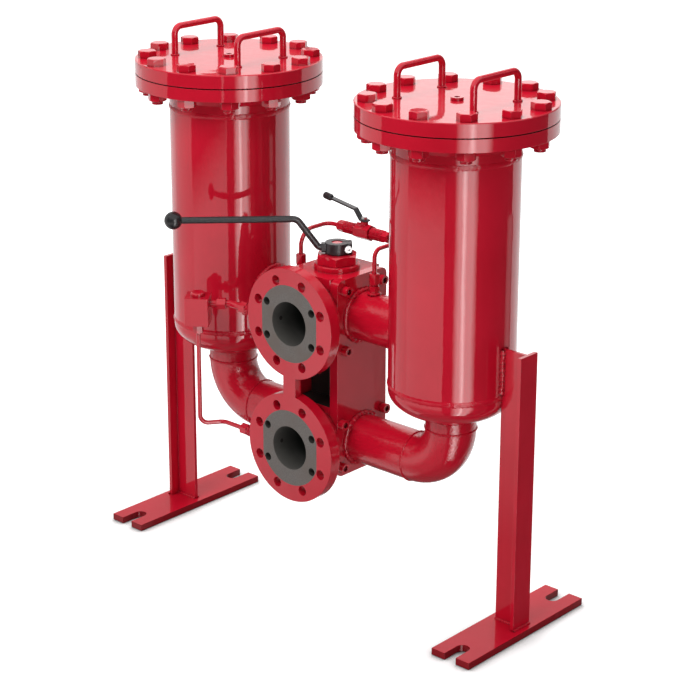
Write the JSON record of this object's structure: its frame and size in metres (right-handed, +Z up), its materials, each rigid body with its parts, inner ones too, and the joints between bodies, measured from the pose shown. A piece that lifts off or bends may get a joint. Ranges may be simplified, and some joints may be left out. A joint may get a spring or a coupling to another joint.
{
  "type": "duplex strainer",
  "caption": "Two flanged strainer vessels on legs, joined by a changeover valve with a ball-knob lever, flanged ports, an equalizing line and a pressure indicator.",
  "frame": {"origin": "on the floor, in the middle of the outline seen from above", "axes": "+X from the left vessel to the right one, +Y to the back (the ports look to the front, -Y), +Z up"},
  "size_m": [0.8826, 0.3896, 0.972],
  "materials": {
    "red_paint": "glossy signal red paint over steel and castings",
    "black_enamel": "glossy black enamel",
    "black_plastic": "moulded glossy black",
    "bright_steel": "zinc-plated, bright",
    "polished_steel": "polished",
    "stainless_steel": "pickled stainless steel",
    "seat_polymer": "white fluoropolymer",
    "packing": "braided graphite",
    "gasket_sheet": "dark fibre sheet"
  },
  "bodies": {
    "body": {"ball_seats": "seat_polymer", "basket_seat_rings": "stainless_steel", "cover_gaskets": "gasket_sheet", "equalizing_fittings": "red_paint", "equalizing_tubes": "red_paint", "equalizing_valve_body": "red_paint", "gland_nut": "red_paint", "gland_packing": "packing", "indicator_block": "red_paint", "indicator_cap": "red_paint", "indicator_fittings": "red_paint", "indicator_lower_tube": "red_paint", "indicator_upper_pipe": "red_paint", "left_base_plate": "red_paint", "left_cover_nuts": "red_paint", "left_elbow": "red_paint", "left_leg": "red_paint", "left_lower_pipe": "red_paint", "left_side_plate": "red_paint", "left_upper_pipe": "red_paint", "left_vessel": "red_paint", "left_vessel_flange": "red_paint", "right_base_plate": "red_paint", "right_cover_nuts": "red_paint", "right_elbow": "red_paint", "right_leg": "red_paint", "right_lower_pipe": "red_paint", "right_side_plate": "red_paint", "right_upper_pipe": "red_paint", "right_vessel": "red_paint", "right_vessel_flange": "red_paint", "side_plate_screws": "red_paint", "valve_body": "red_paint"},
    "changeover": {"valve_stem": "red_paint", "link_stem": "stainless_steel", "upper_ball": "polished_steel", "lower_ball": "polished_steel", "lever_hub": "black_enamel", "hub_clamp_screw": "bright_steel", "lever_rod": "black_enamel", "lever_knob": "black_plastic"},
    "equalizing_handle": {"equalizing_lever": "black_enamel", "equalizing_lever_nut": "bright_steel", "equalizing_ball": "polished_steel"},
    "left_cover_assembly": {"left_cover": "red_paint", "left_cover_bolts": "red_paint", "left_cover_handles": "red_paint", "left_vent_plug": "red_paint"},
    "right_cover_assembly": {"right_cover": "red_paint", "right_cover_bolts": "red_paint", "right_cover_handles": "red_paint", "right_vent_plug": "red_paint"},
    "left_basket": {"left_basket_cage": "stainless_steel", "left_basket_foot": "stainless_steel", "left_basket_cap": "stainless_steel", "left_basket_mesh": "stainless_steel"},
    "right_basket": {"right_basket_cage": "stainless_steel", "right_basket_foot": "stainless_steel", "right_basket_cap": "stainless_steel", "right_basket_mesh": "stainless_steel"}
  },
  "joints": [
    {"name": "changeover_lever", "type": "hinge", "parent": "body", "child": "changeover", "pos_m": [0, 0.02482, 0.6], "axis": [0, 0, 1], "range_deg": [0, 90]},
    {"name": "equalizing_lever", "type": "hinge", "parent": "body", "child": "equalizing_handle", "pos_m": [0, 0.09782, 0.62], "axis": [0, 0, -1], "range_deg": [0, 90]},
    {"name": "left_cover_lift", "type": "slide", "parent": "body", "child": "left_cover_assembly", "axis": [0, 0, 1], "range_m": [0, 0.56]},
    {"name": "left_basket_lift", "type": "slide", "parent": "body", "child": "left_basket", "axis": [0, 0, 1], "range_m": [0, 0.504]},
    {"name": "right_cover_lift", "type": "slide", "parent": "body", "child": "right_cover_assembly", "axis": [0, 0, 1], "range_m": [0, 0.56]},
    {"name": "right_basket_lift", "type": "slide", "parent": "body", "child": "right_basket", "axis": [0, 0, 1], "range_m": [0, 0.504]}
  ],
  "couplings": [
    {"joint": "left_basket_lift", "follows": "left_cover_lift", "ratio": 0.9},
    {"joint": "right_basket_lift", "follows": "right_cover_lift", "ratio": 0.9}
  ]
}
